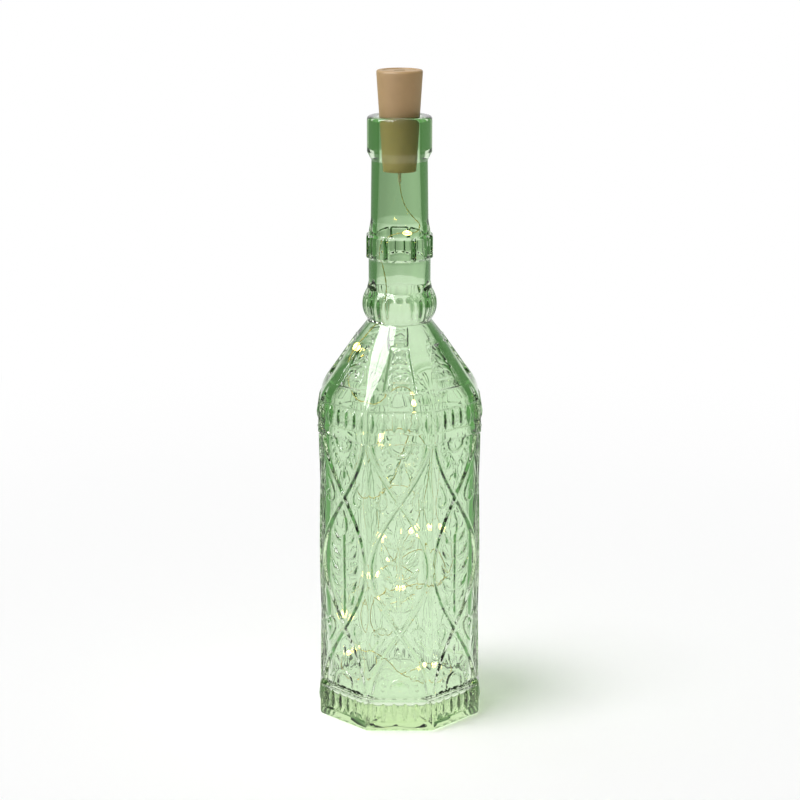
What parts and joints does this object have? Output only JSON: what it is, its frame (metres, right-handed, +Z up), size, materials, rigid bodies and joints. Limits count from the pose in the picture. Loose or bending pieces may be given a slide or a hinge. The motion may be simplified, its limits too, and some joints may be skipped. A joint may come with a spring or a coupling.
{
  "type": "cork bottle light",
  "caption": "Eight-sided pressed-glass bottle with a cork-shaped battery stopper and a wire string of small warm lights hanging inside it.",
  "frame": {"origin": "centre of the bottle's base, on the surface it stands on", "axes": "+Z up along the bottle's axis, -Y towards the front face"},
  "size_m": [0.0838, 0.0838, 0.3325],
  "materials": {
    "bottle_glass": "pressed, fire-polished",
    "cork_plastic": "moulded, satin",
    "cork_plastic_lid": "moulded, satin",
    "sleeve": "heat-shrunk",
    "circuit_board": "lacquered",
    "contact_metal": "stamped, nickel-flashed",
    "chip_ceramic": "fired",
    "string_wire": "drawn, enamelled",
    "light_chip": "emitting, warm white",
    "drop_resin": "cast, clear",
    "carrier_plastic": "moulded",
    "cell_steel": "drawn, nickel-plated",
    "switch_steel": "stamped",
    "knob_plastic": "moulded"
  },
  "bodies": {
    "bottle": {"bottle": "bottle_glass"},
    "cork": {"cork_shell": "cork_plastic", "wire_sleeve": "sleeve", "contact_board": "circuit_board", "centre_contact": "contact_metal", "outer_contact": "contact_metal", "resistor": "chip_ceramic", "light_wire": "string_wire", "led_chips": "light_chip", "led_drop_01": "drop_resin", "led_drop_02": "drop_resin", "led_drop_03": "drop_resin", "led_drop_04": "drop_resin", "led_drop_05": "drop_resin", "led_drop_06": "drop_resin", "led_drop_07": "drop_resin", "led_drop_08": "drop_resin", "led_drop_09": "drop_resin", "led_drop_10": "drop_resin", "led_drop_11": "drop_resin", "led_drop_12": "drop_resin"},
    "battery_cartridge": {"cartridge_lid": "cork_plastic_lid", "battery_carrier": "carrier_plastic", "cell_1": "cell_steel", "cell_2": "cell_steel", "cell_3": "cell_steel", "positive_strip": "contact_metal", "negative_plate": "contact_metal", "switch_case": "switch_steel"},
    "switch_knob": {"switch_knob": "knob_plastic"}
  },
  "joints": [
    {"name": "cork_lift", "type": "slide", "parent": "bottle", "child": "cork", "axis": [0, 0, 1], "range_m": [0, 0.055], "deforming": ["light_wire", "led_chips", "led_drop_01", "led_drop_02", "led_drop_03", "led_drop_04", "led_drop_05", "led_drop_06", "led_drop_07", "led_drop_08", "led_drop_09", "led_drop_10", "led_drop_11", "led_drop_12"]},
    {"name": "cartridge_pull", "type": "slide", "parent": "cork", "child": "battery_cartridge", "axis": [0, 0, 1], "range_m": [0, 0.036]},
    {"name": "switch_slide", "type": "slide", "parent": "battery_cartridge", "child": "switch_knob", "axis": [1, 0, 0], "range_m": [0, 0.002]}
  ]
}
